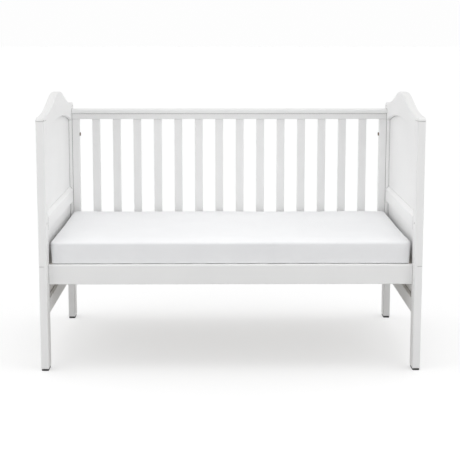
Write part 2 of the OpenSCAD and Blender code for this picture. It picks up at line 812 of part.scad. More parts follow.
// Ring of the mattress: a rounded rectangle with its sides pulled in between its corners
function mattress_ring(in, z) =
    let (
        hx = mattress_l / 2 - in,
        hy = mattress_w / 2 - in,
        r = max(mattress_corner_r - in, 2),
        c = [hx - r, hy - r],
        corners = [for (q = [0:3])
            let (m = [q == 0 || q == 3 ? 1 : -1, q < 2 ? 1 : -1])
                arc([m.x * c.x, m.y * c.y], r, q * 90, q * 90 + 90, 5)],
        flat = [for (q = [0:3])
            each concat(corners[q], run(corners[q][5], corners[(q + 1) % 4][0], q % 2 == 0 ? 8 : 5))]
    )
    [for (p = flat) let (
        on_end = abs(p.x) > hx - r ? 1 : 0,
        on_side = abs(p.y) > hy - r ? 1 : 0
    ) [
        p.x - sign(p.x) * on_end * mattress_draw * (1 - pow(p.y / hy, 2)),
        p.y - sign(p.y) * on_side * mattress_draw * (1 - pow(p.x / hx, 2)),
        z
    ]];

module mattress() {
    low = joint_z + soft_fit;
    top = low + mattress_t;
    r = mattress_edge_r;
    half = mattress_w / 2;
    edge = [for (k = [0:4]) [r * (1 - sin(k * 22.5)), r * (1 - cos(k * 22.5))]];
    crown = [for (u = [0.14, 0.3, 0.5, 0.72, 0.92])
        [r + u * (half - r), top + mattress_crown * (1 - pow(1 - u, 2))]];
    rings = concat(
        [[half * 0.92, low]],
        [for (e = edge) [e[0], low + e[1]]],
        [for (e = reversed(edge)) [e[0], top - e[1]]],
        crown
    );
    loops = [for (k = rings) mattress_ring(k[0], k[1])];
    translate([0, rail_y + mattress_set_back + half, 0]) color(cotton)
        skin(loops, [[for (i = [0:len(loops[0]) - 1]) i]]);
}

for (e = end_names) {
    top_board(e);
    post(e, false);
    post(e, true);
    leg(e, false);
    leg(e, true);
    mid_rail(e);
    lower_rail(e);
    upper_panel(e);
    lower_panel(e);
    foot_pad(e, false);
    foot_pad(e, true);
    back_stile(e);
    base_end_rail(e);
}
back_cap_rail();
back_top_rail();
back_bottom_rail();
for (i = [1:slat_count]) {
    back_slat(i);
}
front_rail();
front_ledger();
back_ledger();
base_bearer(base_front_y, base_l / 2);  // base_front_bearer
base_bearer(-bearer_w / 2, base_l / 2 - bearer_w);  // base_centre_bearer
base_bearer(base_rear_y - bearer_w, base_l / 2);  // base_rear_bearer
base_slats();
back_side_bolts();
back_side_inserts();
front_rail_bolts();
front_rail_barrel_nuts();
leg_studs();
joint_dowels();
spare_inserts();
wood_screws();
mattress();
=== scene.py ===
"""Looks of the cot bed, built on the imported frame.

Lengths are in metres. The origin is on the floor under the middle of the bed: X runs along the
bed, -Y faces the open front and +Z is up.
"""

import json
import math

import bmesh
import bpy
import numpy as np
from mathutils import Matrix, Vector, noise


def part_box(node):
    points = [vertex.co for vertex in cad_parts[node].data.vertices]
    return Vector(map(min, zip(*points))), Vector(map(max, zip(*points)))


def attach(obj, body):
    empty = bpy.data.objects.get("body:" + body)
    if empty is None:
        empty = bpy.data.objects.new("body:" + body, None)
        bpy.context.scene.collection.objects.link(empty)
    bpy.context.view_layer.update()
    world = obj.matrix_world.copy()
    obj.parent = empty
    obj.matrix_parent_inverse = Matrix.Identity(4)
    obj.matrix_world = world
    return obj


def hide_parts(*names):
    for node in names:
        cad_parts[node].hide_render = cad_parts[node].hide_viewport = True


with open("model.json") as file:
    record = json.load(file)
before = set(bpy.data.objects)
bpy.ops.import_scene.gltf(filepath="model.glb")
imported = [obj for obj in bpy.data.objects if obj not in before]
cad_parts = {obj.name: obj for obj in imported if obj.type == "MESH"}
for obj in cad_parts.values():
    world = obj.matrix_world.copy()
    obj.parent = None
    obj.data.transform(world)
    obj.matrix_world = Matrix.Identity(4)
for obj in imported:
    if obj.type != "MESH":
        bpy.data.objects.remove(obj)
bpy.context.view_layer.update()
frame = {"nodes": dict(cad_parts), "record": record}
nodes = frame["nodes"]

BED_LO, BED_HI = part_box("mattress")
BED_MID = (BED_LO + BED_HI) / 2
BED_HALF = (BED_HI - BED_LO) / 2


# ---------------------------------------------------------------- node helpers

BEVEL_SAMPLES = 6
OCCLUSION_SAMPLES = 8
WHITE = (1, 1, 1)


def preset(node, **values):
    """Sets the constants on a node's own sockets and returns the node."""
    for key, value in values.items():
        node.inputs[key.replace("_", " ")].default_value = value
    return node


class Net:
    """Short ways to add and join the nodes of a material or of the world."""

    def __init__(self, owner, out_kind):
        owner.use_nodes = True
        self.nodes = owner.node_tree.nodes
        self.links = owner.node_tree.links
        self.nodes.clear()
        self.out = self.nodes.new(out_kind)

    def add(self, kind, **values):
        return preset(self.nodes.new(kind), **values)

    def link(self, a, b):
        self.links.new(a, b)

    def feed(self, socket, value):
        """Puts a number, a colour or another node's output into a socket."""
        if isinstance(value, (int, float)):
            socket.default_value = value
        elif isinstance(value, tuple):
            socket.default_value = (*value, 1)
        else:
            self.link(value, socket)

    def math(self, kind, *values):
        n = self.nodes.new("ShaderNodeMath")
        n.operation = kind
        for socket, value in zip(n.inputs, values):
            self.feed(socket, value)
        return n.outputs[0]

    def times(self, a, b):
        return self.math("MULTIPLY", a, b)

    def plus(self, a, b):
        return self.math("ADD", a, b)

    def ranged(self, value, span, start):
        """Start where the value is 0, and start plus span where it is 1."""
        return self.math("MULTIPLY_ADD", value, span, start)

    def split(self, vector):
        n = self.nodes.new("ShaderNodeSeparateXYZ")
        self.link(vector, n.inputs[0])
        return n.outputs

    def seen_directly(self):
        """1 for a ray from the camera, a mirror or glass, and 0 for light on its way to things."""
        path = self.nodes.new("ShaderNodeLightPath")
        total = path.outputs["Is Camera Ray"]
        for other in ("Is Glossy Ray", "Is Transmission Ray"):
            total = self.plus(total, path.outputs[other])
            total.node.use_clamp = True
        return total

    def show(self, lit, seen):
        """One shader for the light that it gives, and another for where it is seen directly."""
        n = self.nodes.new("ShaderNodeMixShader")
        self.link(self.seen_directly(), n.inputs[0])
        self.link(lit, n.inputs[1])
        self.link(seen, n.inputs[2])
        self.link(n.outputs[0], self.out.inputs[0])


class Tree(Net):
    """The nodes of one material of the object, around a Principled shader."""

    def __init__(self, name):
        self.material = bpy.data.materials.new(name)
        super().__init__(self.material, "ShaderNodeOutputMaterial")
        self.shader = self.nodes.new("ShaderNodeBsdfPrincipled")
        self.link(self.shader.outputs[0], self.out.inputs[0])
        self.place = self.nodes.new("ShaderNodeTexCoord").outputs["Object"]

    def stretched(self, scale, turn=(0, 0, 0)):
        n = self.add("ShaderNodeMapping", Scale=scale, Rotation=turn)
        self.link(self.place, n.inputs["Vector"])
        return n.outputs[0]

    def noise(self, vector, scale, detail, rough, distortion=0.0):
        n = self.add("ShaderNodeTexNoise", Scale=scale, Detail=detail, Roughness=rough,
                     Distortion=distortion)
        self.link(vector, n.inputs["Vector"])
        return n.outputs["Fac"]

    def wave(self, vector, scale, distortion, detail, detail_scale, direction):
        n = self.add("ShaderNodeTexWave", Scale=scale, Distortion=distortion, Detail=detail,
                     Detail_Scale=detail_scale)
        n.bands_direction = direction
        self.link(vector, n.inputs["Vector"])
        return n.outputs["Fac"]

    def ramp(self, value, stops):
        n = self.nodes.new("ShaderNodeValToRGB")
        self.link(value, n.inputs[0])
        elements = n.color_ramp.elements
        while len(elements) < len(stops):
            elements.new(0.5)
        for element, (position, colour) in zip(elements, stops):
            element.position = position
            element.color = (*colour, 1)
        return n.outputs[0]

    def mix(self, factor, a, b, kind="MIX"):
        n = self.nodes.new("ShaderNodeMix")
        n.data_type = "RGBA"
        n.blend_type = kind
        # A colour mix has its factor at socket 0, its two colours at 6 and 7 and its result at 2
        for socket, value in ((n.inputs[0], factor), (n.inputs[6], a), (n.inputs[7], b)):
            self.feed(socket, value)
        return n.outputs[2]

    def bump(self, height, strength, distance, arris=None):
        """Relief from a height, on arrises softened by a radius where one is given."""
        n = self.add("ShaderNodeBump", Strength=strength, Distance=distance)
        self.link(height, n.inputs["Height"])
        if arris is not None:
            bevel = self.add("ShaderNodeBevel", Radius=arris)
            bevel.samples = BEVEL_SAMPLES
            self.link(bevel.outputs[0], n.inputs["Normal"])
        return n.outputs[0]

    def occlusion(self, distance):
        n = self.add("ShaderNodeAmbientOcclusion", Distance=distance)
        n.samples = OCCLUSION_SAMPLES
        return n.outputs["AO"]

    def surface(self, colour, roughness, normal):
        """Joins the three inputs that vary over the surface, and returns the material."""
        for key, value in (("Base Color", colour), ("Roughness", roughness), ("Normal", normal)):
            self.link(value, self.shader.inputs[key])
        return self.material


# ---------------------------------------------------------------- materials

# Noise is drawn out twenty times along the grain
GRAIN = {"x": (0.05, 1, 1), "y": (1, 0.05, 1), "z": (1, 1, 0.05)}
RING_TURN = {"x": (0, 0.12, 0.35), "y": (0.1, 0, 1.2)}
# Grey, starting height and rise of the painted shade on faces that look up high on the bed
TOP_SHADE_GREY = (0.610, 0.608, 0.602)
TOP_SHADE_FROM_Z, TOP_SHADE_RISE = 0.675, 8.0
THREAD_SCALE = 520


def white_paint(axis):
    """Satin white paint on wood, with faint brush lines and filled grain along the piece.

    Corners are darkened as painted shade, seams as dark joints and painted shade, and faces that
    look up high on the bed are greyed as painted shade. These are set to match the
    photograph's tones.
    """
    t = Tree(f"white_paint_{axis}")
    along = t.stretched(GRAIN[axis])
    brush = t.noise(along, scale=420, detail=3, rough=0.6)
    grain = t.noise(along, scale=90, detail=5, rough=0.62, distortion=0.6)
    peel = t.noise(t.place, scale=260, detail=2, rough=0.5)
    cloud = t.noise(t.place, scale=5.5, detail=3, rough=0.5)
    tone = t.ramp(cloud, [(0.3, (0.852, 0.852, 0.850)), (0.7, (0.872, 0.872, 0.869))])
    filled = t.times(t.math("SUBTRACT", grain, 0.42), 0.14)
    tone = t.mix(filled, tone, (0.76, 0.76, 0.755))

    # Painted shade: faces that look up, high on the bed, are mixed towards a grey in soft blotches
    normal_z = t.split(t.nodes.new("ShaderNodeNewGeometry").outputs["Normal"])["Z"]
    facing_up = t.math("POWER", t.math("MAXIMUM", normal_z, 0.0), 2.0)
    top_shade = t.times(facing_up, t.ranged(cloud, 0.2, 0.45))
    rise = t.ranged(t.split(t.place)["Z"], TOP_SHADE_RISE, -TOP_SHADE_RISE * TOP_SHADE_FROM_Z)
    high_up = t.math("MINIMUM", t.math("MAXIMUM", rise, 0.0), 1.0)
    tone = t.mix(t.times(top_shade, high_up), tone, TOP_SHADE_GREY)

    # Painted shade: the paint is darkened in corners and recesses, by occlusion within 6 mm
    corner_shade = t.ramp(t.occlusion(0.006), [(0.2, (0.66, 0.66, 0.655)), (0.7, WHITE)])
    colour = t.mix(0.45, tone, corner_shade, "MULTIPLY")
    # Dark joint lines and painted shade: the paint is darkened within 2.8 mm of another face, at
    # the joints between pieces and along every inner corner
    seam = t.ramp(t.occlusion(0.0028), [(0.50, (0.26, 0.26, 0.255)), (0.90, WHITE)])
    colour = t.mix(0.85, colour, seam, "MULTIPLY")

    rough = t.ranged(t.noise(along, scale=60, detail=3, rough=0.55), 0.16, 0.40)
    preset(t.shader, Specular_IOR_Level=0.32)
    height = t.plus(t.times(brush, 0.5), t.times(grain, 0.7))
    height = t.plus(height, t.times(peel, 0.35))
    return t.surface(colour, rough, t.bump(height, strength=0.22, distance=0.0006, arris=0.0018))


def bare_wood(axis):
    """Planed birch: growth rings run along the piece, with darker late wood and open pores."""
    t = Tree(f"bare_wood_{axis}")
    along = t.stretched(GRAIN[axis])
    rings = t.wave(t.stretched(GRAIN[axis], RING_TURN[axis]), scale=34, distortion=3.4, detail=4,
                   detail_scale=1.4, direction="Z")
    fibre = t.noise(along, scale=520, detail=4, rough=0.6)
    patch = t.noise(along, scale=14, detail=3, rough=0.5)
    tone = t.ramp(rings, [(0.0, (0.79, 0.72, 0.61)), (0.55, (0.74, 0.66, 0.54)),
                          (0.93, (0.62, 0.53, 0.41))])
    tone = t.mix(t.times(patch, 0.45), tone, (0.81, 0.75, 0.65))
    tone = t.mix(t.times(fibre, 0.25), tone, (0.66, 0.57, 0.45))
    height = t.plus(t.times(rings, 0.4), fibre)
    return t.surface(tone, t.ranged(fibre, 0.2, 0.5),
                     t.bump(height, strength=0.3, distance=0.0006, arris=0.0012))


def metal(name, base, dark, rough):
    """Plated steel with fine turning marks, darker plating in blotches, and darker in corners."""
    t = Tree(name)
    marks = t.noise(t.stretched((1, 12, 12)), scale=240, detail=4, rough=0.6)
    blotch = t.noise(t.place, scale=180, detail=4, rough=0.6)
    tone = t.mix(t.times(blotch, 0.8), base, dark)
    # Darker within 3 mm of another face, in corners
    corner_dark = t.ramp(t.occlusion(0.003), [(0.2, (0.35, 0.35, 0.35)), (0.8, WHITE)])
    preset(t.shader, Metallic=1.0)
    return t.surface(t.mix(0.8, tone, corner_dark, "MULTIPLY"), t.ranged(marks, 0.22, rough),
                     t.bump(marks, strength=0.12, distance=0.0002, arris=0.0005))


def rubber():
    """Moulded rubber with a fine pebbled face and dust."""
    t = Tree("foot_rubber")
    pebble = t.add("ShaderNodeTexVoronoi", Scale=900)
    t.link(t.place, pebble.inputs["Vector"])
    dust = t.noise(t.place, scale=130, detail=4, rough=0.65)
    tone = t.ramp(dust, [(0.35, (0.022, 0.022, 0.024)), (0.75, (0.065, 0.064, 0.062))])
    return t.surface(tone, t.ranged(dust, 0.25, 0.55),
                     t.bump(pebble.outputs["Distance"], strength=0.35, distance=0.0003,
                            arris=0.0012))


def cotton():
    """Plain-woven white cotton: threads each way, slubs, soft sheen and painted shade at edges."""
    t = Tree("sheet_cotton")
    warp, weft, upright = (t.wave(t.place, THREAD_SCALE, distortion=1.2, detail=2,
                                  detail_scale=3.0, direction=axis) for axis in "XYZ")
    slub = t.noise(t.stretched((0.08, 1, 1)), scale=260, detail=3, rough=0.6)
    slub_y = t.noise(t.stretched((1, 0.08, 1)), scale=260, detail=3, rough=0.6)
    soft = t.noise(t.place, scale=9, detail=4, rough=0.5)
    tone = t.ramp(soft, [(0.3, (0.852, 0.856, 0.868)), (0.7, (0.874, 0.878, 0.888))])
    threads = t.math("MAXIMUM", t.math("MAXIMUM", warp, weft), upright)
    between = t.times(t.math("SUBTRACT", 1.0, threads), 0.10)
    tone = t.mix(between, tone, (0.74, 0.745, 0.755))
    tone = t.mix(t.times(slub, 0.10), tone, (0.93, 0.93, 0.93))
    # Painted shade: the sheet is darkened within 6 mm of another face, as along its bottom edge on
    # the rail
    edge_shade = t.ramp(t.occlusion(0.006), [(0.48, (0.22, 0.22, 0.23)), (0.84, WHITE)])
    preset(t.shader, Sheen_Weight=0.22, Sheen_Roughness=0.5, Specular_IOR_Level=0.25)
    slubs = t.plus(t.times(slub, 0.5), t.times(slub_y, 0.5))
    return t.surface(t.mix(0.85, tone, edge_shade, "MULTIPLY"), t.ranged(slub_y, 0.12, 0.80),
                     t.bump(t.plus(threads, slubs), strength=0.35, distance=0.0004))


PAINT = {axis: white_paint(axis) for axis in "xyz"}
BIRCH = {axis: bare_wood(axis) for axis in "xy"}
BRONZE = metal("bronzed_steel", (0.17, 0.115, 0.075), (0.075, 0.05, 0.035), 0.30)
ZINC = metal("zinc_steel", (0.56, 0.56, 0.55), (0.38, 0.38, 0.37), 0.28)
RUBBER = rubber()
COTTON = cotton()


def paint_axis(name):
    """Direction of the grain of a painted piece, along its longest side."""
    lo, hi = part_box(name)
    size = hi - lo
    return "xyz"[max(range(3), key=lambda i: size[i])]


def wood_axis(name):
    """Direction of the grain of a bare piece: the slats and end rails run across the bed."""
    return "y" if name == "base_slats" or name.endswith("_end_rail") else "x"


SLOT_MATERIAL = {
    "white_paint": lambda n: PAINT[paint_axis(n)],
    "bare_wood": lambda n: BIRCH[wood_axis(n)],
    "bronzed_steel": lambda n: BRONZE,
    "zinc_steel": lambda n: ZINC,
    "foot_rubber": lambda n: RUBBER,
    "sheet_cotton": lambda n: COTTON,
}

for part in frame["record"]["subparts"]:
    piece = nodes[part["node"]]
    finish = SLOT_MATERIAL[part["material_slot"]](part["node"])
    if not piece.material_slots:
        piece.data.materials.append(finish)
    for slot in piece.material_slots:
        slot.material = finish


# ---------------------------------------------------------------- mattress and fitted sheet

MIDDLE = Vector((BED_MID.x, BED_MID.y, 0))

# The pad, measured from the CAD's mattress
SHEET_GAP = 0.0009
PAD_LIFT, PAD_LONGER, PAD_NARROWER = 0.0006, 0.0022, 0.0006
PAD_CORNER_R, PAD_TOP_R, PAD_LOW_R = 0.016, 0.009, 0.0042
PAD_CROWN, PAD_BELLY = 0.0030, 0.0016
DRAW_ENDS, DRAW_SIDES = 0.0022, 0.0010
PAD_LOW_Z = BED_LO.z + PAD_LIFT
PAD_EDGE_Z = BED_HI.z - PAD_CROWN
PAD_SIDE_H = PAD_EDGE_Z - PAD_LOW_Z
PAD_HALF = Vector((BED_HALF.x - SHEET_GAP + PAD_LONGER, BED_HALF.y - SHEET_GAP - PAD_NARROWER))

# The ends of the pad swell into the recess over the lower panel. The swell runs out 7 mm short of
# the posts' inner faces
END_SWELL, END_TAPER, SWELL_FULL_AT = 0.0065, 0.0008, 0.8
SWELL_HALF_Y, SWELL_EASE = 0.333, 0.014
SWELL_FRONT, SWELL_REAR = -SWELL_HALF_Y - BED_MID.y, SWELL_HALF_Y - BED_MID.y
SWELL_STARTS = 0.001

# Grid of the pad's skin
CELL = 0.0085
LOW_STEPS, WALL_STEPS, TOP_STEPS = 4, 9, 5

# The simulation, and how far its result may go
START_INSET, FOAM_GIVE = 0.0028, 0.0042
FIRST_FRAME, LAST_FRAME = 1, 20
END_REACH, SIDE_CLEAR, TOP_CLEAR = 0.0042, 0.0002, 0.0006
BROAD_HOLLOW, SMALL_HOLLOW = 0.0011, 0.0006
HOLLOW_FROM, HOLLOW_EASE = 0.004, 0.014
PINNED_BELOW = PAD_LOW_Z + 0.0005
UNDERSIDE_BELOW = PAD_LOW_Z + 0.0006

# The sheet
TUCK = 0.085
FAN, FOLD, SCALLOP, WAVE = 0.0006, 0.0007, 0.0008, 0.0012
FAN_AT, FAN_SPREAD, FOLD_REACH, SIDE_BAND = 0.075, 0.055, 0.045, 0.02
FAN_TURNS, FOLD_TURNS, SCALLOP_TURNS = 15, 330, 105
PULL_IN, PULL_OUT = 0.0005, 0.0012
FACES_DOWN = -0.9


def link_mesh(name, data):
    o = bpy.data.objects.new(name, data)
    bpy.context.scene.collection.objects.link(o)
    return o


def edge_steps(half, radius):
    """Places of the grid lines from side to side, closer together over the rounded edge."""
    inner = half - radius
    n = max(2, round(2 * inner / CELL))
    rim = [radius * i / TOP_STEPS for i in range(TOP_STEPS)]
    flat = [-inner + 2 * inner * i / n for i in range(n + 1)]
    return [-half + v for v in rim] + flat + [half - v for v in reversed(rim)]


def wall_steps():
    """Heights of the grid lines, closer together over the rounded edges."""
    inner_h = PAD_SIDE_H - PAD_LOW_R - PAD_TOP_R
    low = [PAD_LOW_Z + PAD_LOW_R * i / LOW_STEPS for i in range(LOW_STEPS)]
    wall = [PAD_LOW_Z + PAD_LOW_R + inner_h * i / WALL_STEPS for i in range(WALL_STEPS + 1)]
    top = [PAD_EDGE_Z - PAD_TOP_R * (TOP_STEPS - 1 - i) / TOP_STEPS for i in range(TOP_STEPS)]
    return low + wall + top


def box_grid(xs, ys, zs):
    """Closed skin of a block, as one grid of points on each side that share their borders."""
    index, points, faces = {}, [], []
    nx, ny, nz = len(xs) - 1, len(ys) - 1, len(zs) - 1

    def at(i, j, k):
        if (i, j, k) not in index:
            index[i, j, k] = len(points)
            points.append((xs[i], ys[j], zs[k]))
        return index[i, j, k]

    for i in range(nx):
        for j in range(ny):
            faces.append((at(i, j, nz), at(i + 1, j, nz), at(i + 1, j + 1, nz), at(i, j + 1, nz)))
            faces.append((at(i, j, 0), at(i, j + 1, 0), at(i + 1, j + 1, 0), at(i + 1, j, 0)))
    for k in range(nz):
        for i in range(nx):
            faces.append((at(i, 0, k), at(i + 1, 0, k), at(i + 1, 0, k + 1), at(i, 0, k + 1)))
            faces.append((at(i, ny, k), at(i, ny, k + 1), at(i + 1, ny, k + 1), at(i + 1, ny, k)))
        for j in range(ny):
            faces.append((at(0, j, k), at(0, j, k + 1), at(0, j + 1, k + 1), at(0, j + 1, k)))
            faces.append((at(nx, j, k), at(nx, j + 1, k), at(nx, j + 1, k + 1), at(nx, j, k + 1)))
    return np.array(points), faces


def round_off(p):
    """Turns a block's skin into a pad's, with rounded edges and round corners in plan."""
    half_x, half_y = PAD_HALF
    tx = half_x - np.abs(p[:, 0])
    ty = half_y - np.abs(p[:, 1])
    z = p[:, 2]
    upper = z > (PAD_LOW_Z + PAD_EDGE_Z) / 2
    r = np.where(upper, PAD_TOP_R, PAD_LOW_R)
    depth = np.where(upper, PAD_EDGE_Z - z, z - PAD_LOW_Z)
    h = np.clip(1 - depth / r, 0, 1)
    squash = np.sqrt(1 - h * h / 2)
    wx, wy = np.clip(1 - tx / r, 0, 1), np.clip(1 - ty / r, 0, 1)
    inx = np.where(tx < r, r * (1 - wx * squash), tx)
    iny = np.where(ty < r, r * (1 - wy * squash), ty)
    w = np.maximum(wx, wy)
    lift = np.where(h > 0, r * (1 - h * np.sqrt(1 - w * w / 2)), depth)
    x, y = half_x - inx, half_y - iny
    plan_r = PAD_CORNER_R
    u = np.clip((x - (half_x - plan_r)) / plan_r, 0, 1)
    v = np.clip((y - (half_y - plan_r)) / plan_r, 0, 1)
    both = (u > 0) & (v > 0)
    x = np.where(both, half_x - plan_r + plan_r * u * np.sqrt(1 - v * v / 2), x)
    y = np.where(both, half_y - plan_r + plan_r * v * np.sqrt(1 - u * u / 2), y)
    z = np.where(upper, PAD_EDGE_Z - lift, PAD_LOW_Z + lift)
    return np.stack([x * np.sign(p[:, 0]), y * np.sign(p[:, 1]), z], axis=1)


def height_share(q):
    """0 at the pad's underside and 1 at the edge of its top."""
    return np.clip((q[:, 2] - PAD_LOW_Z) / PAD_SIDE_H, 0, 1)


def outer_tenth(share):
    """0 over the inner nine tenths of the way to an edge, then up to 1 at the edge."""
    return np.clip((share - 0.9) * 10, 0, 1)


def end_swell(q):
    """How far the pad's ends stand out, by height and by place between the posts."""
    front = np.clip((q[:, 1] - SWELL_FRONT) / SWELL_EASE, 0, 1)
    rear = np.clip((SWELL_REAR - q[:, 1]) / SWELL_EASE, 0, 1)
    free = front * rear
    free = free * free * (3 - 2 * free)
    rise = np.clip(height_share(q) / SWELL_FULL_AT, 0, 1)
    return (END_SWELL * free + END_TAPER) * rise - END_TAPER


def pad_points(p, inset):
    """Rest shape of the pad: a crowned block whose sides bulge and pull in between its corners."""
    q = round_off(p)
    u, v = np.abs(q[:, 0]) / PAD_HALF.x, np.abs(q[:, 1]) / PAD_HALF.y
    high = height_share(q)
    crown = PAD_CROWN * np.clip(1 - u**4, 0, 1) * np.clip(1 - v**2.6, 0, 1)
    q[:, 2] += crown * high**2 - inset * high
    belly = PAD_BELLY * (1 - (2 * high - 1) ** 2)
    draw_x = DRAW_ENDS * np.clip(1 - v * v, 0, 1) * outer_tenth(u)
    draw_y = DRAW_SIDES * np.clip(1 - u * u, 0, 1) * outer_tenth(v)
    q[:, 0] *= (PAD_HALF.x - inset + belly - draw_x) / PAD_HALF.x
    q[:, 1] *= (PAD_HALF.y - inset - PAD_BELLY + belly - draw_y) / PAD_HALF.y
    q[:, 0] += end_swell(q) * outer_tenth(u) * np.sign(q[:, 0])
    return q


def low_noise(q, scale, seed):
    return np.array([noise.noise(Vector((a * scale + seed, b * scale, c * scale)))
                     for a, b, c in q])


def blow_up(pad, start):
    """Blows the pad's cover up as cloth, held where it lies on the slats, and gives its points."""
    pinned = pad.vertex_groups.new(name="pinned")
    pinned.add([i for i, v in enumerate(start) if v[2] < PINNED_BELOW], 1.0, "REPLACE")
    cloth = pad.modifiers.new("cover", "CLOTH")
    cloth.settings.quality = 4
    cloth.settings.mass = 0.3
    cloth.settings.tension_stiffness = 12
    cloth.settings.compression_stiffness = 12
    cloth.settings.shear_stiffness = 6
    cloth.settings.bending_stiffness = 0.6
    cloth.settings.use_pressure = True
    cloth.settings.uniform_pressure_force = 4
    cloth.settings.effector_weights.gravity = 0
    cloth.settings.vertex_group_mass = "pinned"
    cloth.point_cache.frame_start = FIRST_FRAME
    cloth.point_cache.frame_end = LAST_FRAME
    for step in range(FIRST_FRAME, LAST_FRAME + 1):
        bpy.context.scene.frame_set(step)
    blown = pad.evaluated_get(bpy.context.evaluated_depsgraph_get()).data
    moved = np.empty(len(blown.vertices) * 3)
    blown.vertices.foreach_get("co", moved)
    moved = moved.reshape(-1, 3) - start
    pad.modifiers.remove(cloth)
    pad.vertex_groups.clear()
    bpy.context.scene.frame_set(FIRST_FRAME)
    # Foam fills the cover, so it gives only a few millimetres
    far = np.linalg.norm(moved, axis=1, keepdims=True)
    moved *= FOAM_GIVE / (FOAM_GIVE + far)
    return start + moved


block, pad_faces = box_grid(edge_steps(PAD_HALF.x, PAD_TOP_R), edge_steps(PAD_HALF.y, PAD_TOP_R),
                            wall_steps())
# The cover swells, so it starts a little smaller where the simulation runs
pad_rest = pad_points(block, START_INSET)
pad_mesh = bpy.data.meshes.new("mattress_pad")
pad_mesh.from_pydata([tuple(v) for v in pad_rest], [], pad_faces)
pad = link_mesh("mattress_pad", pad_mesh)
pad_rest = blow_up(pad, pad_rest)

# The sheet's soft hollows show in the pad as well
normals = np.empty(len(pad_mesh.vertices) * 3)
pad_mesh.vertex_normals.foreach_get("vector", normals)
normals = normals.reshape(-1, 3)
broad = BROAD_HOLLOW * low_noise(pad_rest, scale=3.4, seed=7.0)
small = SMALL_HOLLOW * low_noise(pad_rest, scale=9.0, seed=3.0)
soft = broad + small
soft *= np.clip((pad_rest[:, 2] - PAD_LOW_Z - HOLLOW_FROM) / HOLLOW_EASE, 0, 1)
pad_rest = pad_rest + normals * soft[:, None]
pad_rest[:, 2] = np.clip(pad_rest[:, 2], PAD_LOW_Z, BED_HI.z - SHEET_GAP - TOP_CLEAR)
room_x = BED_HALF.x + END_REACH - SHEET_GAP + END_SWELL * (end_swell(pad_rest) > SWELL_STARTS)
room_y = BED_HALF.y - SHEET_GAP - SIDE_CLEAR
pad_rest[:, 0] = np.clip(pad_rest[:, 0], -room_x, room_x)
pad_rest[:, 1] = np.clip(pad_rest[:, 1], -room_y, room_y)
pad_mesh.vertices.foreach_set("co", (pad_rest + np.array(MIDDLE)).ravel())
pad_mesh.update()


def pucker(q):
    """Small pulls of the stretched sheet, as heights over its skin.

    There are fans on top and folds down the sides at its four corners, scallops above the elastic
    and long soft waves.
    """
    high = height_share(q)
    dx, dy = BED_HALF.x - np.abs(q[:, 0]), BED_HALF.y - np.abs(q[:, 1])
    corner = np.hypot(dx, dy)
    angle = np.arctan2(dx, dy)
    wander = low_noise(q, scale=11.0, seed=21.0)
    ring = np.exp(-(((corner - FAN_AT) / FAN_SPREAD) ** 2))
    fan = np.sin(angle * FAN_TURNS + wander * 2.4) * ring * FAN * high
    near = np.minimum(dx, dy) < SIDE_BAND
    seam = np.maximum(dx, dy)
    fading = np.exp(-seam / FOLD_REACH)
    folds = np.sin(seam * FOLD_TURNS + wander * 3.0 + high * 2.0) * fading * FOLD
    folds = folds * near * (1 - high * 0.7)
    along = np.where(dx < dy, q[:, 1], q[:, 0])
    uneven = low_noise(q, scale=5.0, seed=40.0)
    scallop = np.sin(along * SCALLOP_TURNS + uneven * 4.0) * SCALLOP
    scallop = scallop * np.clip(0.5 - high, 0, 0.5) * 2 * near
    waves = low_noise(q * np.array([0.5, 1.3, 2.0]), scale=5.5, seed=60.0) * WAVE * near
    return (fan + folds + scallop + waves) * np.clip((high - 0.06) * 7, 0, 1)


# The sheet is the pad's skin with its underside cut away inside the hem
sheet_bm = bmesh.new()
sheet_bm.from_mesh(pad_mesh)
away = np.array([v.normal[:] for v in sheet_bm.verts])
local = np.array([v.co[:] for v in sheet_bm.verts]) - np.array(MIDDLE)
under = local[:, 2] < UNDERSIDE_BELOW
offset = SHEET_GAP + np.where(under, 0, np.clip(pucker(local), -PULL_IN, PULL_OUT))
skin = local + away * offset[:, None]
skin[:, 0] = np.clip(skin[:, 0], -room_x - SHEET_GAP, room_x + SHEET_GAP)
skin[:, 1] = np.clip(skin[:, 1], -room_y - SHEET_GAP, room_y + SHEET_GAP)
for v, p in zip(sheet_bm.verts, skin):
    v.co = Vector(p) + MIDDLE


def inside_hem(face):
    """True for a face of the underside that lies further in than the tuck."""
    centre = face.calc_center_median() - MIDDLE
    return (face.normal.z < FACES_DOWN and abs(centre.x) < PAD_HALF.x - TUCK
            and abs(centre.y) < PAD_HALF.y - TUCK)


bmesh.ops.delete(sheet_bm, geom=[f for f in sheet_bm.faces if inside_hem(f)], context="FACES")
sheet_mesh = bpy.data.meshes.new("fitted_sheet")
sheet_bm.to_mesh(sheet_mesh)
sheet_bm.free()
sheet = link_mesh("fitted_sheet", sheet_mesh)


def smooth_skin(o):
    """One subdivision, applied, with smooth shading."""
    m = o.modifiers.new("smooth", "SUBSURF")
    m.levels = m.render_levels = 1
    done = bpy.data.meshes.new_from_object(o.evaluated_get(bpy.context.evaluated_depsgraph_get()))
    o.modifiers.remove(m)
    o.data = done
    done.polygons.foreach_set("use_smooth", [True] * len(done.polygons))


for cloth_piece in (pad, sheet):
    smooth_skin(cloth_piece)
    cloth_piece.data.materials.append(COTTON)
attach(pad, "mattress")
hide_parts("mattress")
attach(sheet, "mattress")


# ---------------------------------------------------------------- stage and light

FLOOR_SIDE, FLOOR_FRONT, FLOOR_BACK = 30, -20, 60
# Greys of the floor as light meets it and as it is seen, with the glow that makes it white
FLOOR_LIT, FLOOR_SEEN, FLOOR_GLOW = 0.45, 0.42, 0.525
BACKDROP = 0.985

